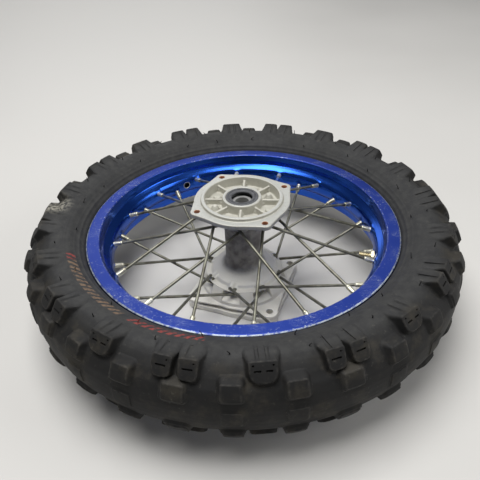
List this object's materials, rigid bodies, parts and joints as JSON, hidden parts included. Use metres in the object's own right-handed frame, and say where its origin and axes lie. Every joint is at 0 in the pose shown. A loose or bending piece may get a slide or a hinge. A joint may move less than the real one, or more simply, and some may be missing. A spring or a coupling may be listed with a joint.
{
  "type": "spoked wheel",
  "caption": "Wire-spoked off-road rear wheel: cast hub on bearings, anodised rim, knobbly tyre, tube and valve, with disc and sprocket seats.",
  "frame": {"origin": "on the axle line, in the middle plane of the rim", "axes": "+Z along the axle line towards the brake disc side; +X is 15 degrees past the valve"},
  "size_m": [0.5292, 0.5282, 0.1468],
  "materials": {
    "cast_alloy": "satin as-cast with machined faces",
    "blue_anodised": "blue anodised, scratched lip",
    "tape_rubber": "matte",
    "tube_rubber": "matte",
    "tyre_rubber": "matte, dusty",
    "zinc_wire": "dull zinc plate",
    "nipple_plate": "worn zinc plate",
    "bearing_steel": "ground",
    "ball_steel": "polished",
    "cage_plastic": "moulded",
    "seal_rubber": "satin",
    "spacer_tube": "turned",
    "valve_brass": "worn nickel over brass"
  },
  "bodies": {
    "axle_core": {"disc_bearing_inner_race": "bearing_steel", "bearing_spacer": "spacer_tube", "sprocket_bearing_inner_race": "bearing_steel"},
    "wheel": {"hub_shell": "cast_alloy", "rim": "blue_anodised", "rim_tape": "tape_rubber", "inner_tube": "tube_rubber", "tyre": "tyre_rubber", "disc_side_leading_spokes": "zinc_wire", "disc_side_trailing_spokes": "zinc_wire", "sprocket_side_leading_spokes": "zinc_wire", "sprocket_side_trailing_spokes": "zinc_wire", "disc_side_nipples": "nipple_plate", "sprocket_side_nipples": "nipple_plate", "disc_bearing_outer_race": "bearing_steel", "disc_bearing_shields": "seal_rubber", "sprocket_bearing_outer_race": "bearing_steel", "sprocket_bearing_shields": "seal_rubber", "disc_side_seal": "seal_rubber", "sprocket_side_seal": "seal_rubber", "valve_stem": "valve_brass", "valve_nut": "valve_brass", "valve_core": "valve_brass"},
    "disc_ball_ring": {"disc_bearing_balls": "ball_steel", "disc_bearing_cage": "cage_plastic"},
    "sprocket_ball_ring": {"sprocket_bearing_balls": "ball_steel", "sprocket_bearing_cage": "cage_plastic"},
    "valve_plunger": {"valve_pin": "valve_brass"}
  },
  "joints": [
    {"name": "wheel_spin", "type": "hinge", "parent": "axle_core", "child": "wheel", "pos_m": [0, 0, 0], "axis": [0, 0, 1], "continuous": true},
    {"name": "disc_ball_ring_spin", "type": "hinge", "parent": "axle_core", "child": "disc_ball_ring", "pos_m": [0, 0, 0.0533], "axis": [0, 0, 1], "continuous": true},
    {"name": "sprocket_ball_ring_spin", "type": "hinge", "parent": "axle_core", "child": "sprocket_ball_ring", "pos_m": [0, 0, -0.0608], "axis": [0, 0, 1], "continuous": true},
    {"name": "valve_pin_slide", "type": "slide", "parent": "wheel", "child": "valve_plunger", "axis": [0.9659, -0.2588, 0], "range_m": [0, 0.0015], "stiffness_N_per_m": 400}
  ],
  "couplings": [
    {"joint": "disc_ball_ring_spin", "follows": "wheel_spin", "ratio": 0.6123},
    {"joint": "sprocket_ball_ring_spin", "follows": "wheel_spin", "ratio": 0.6123}
  ]
}
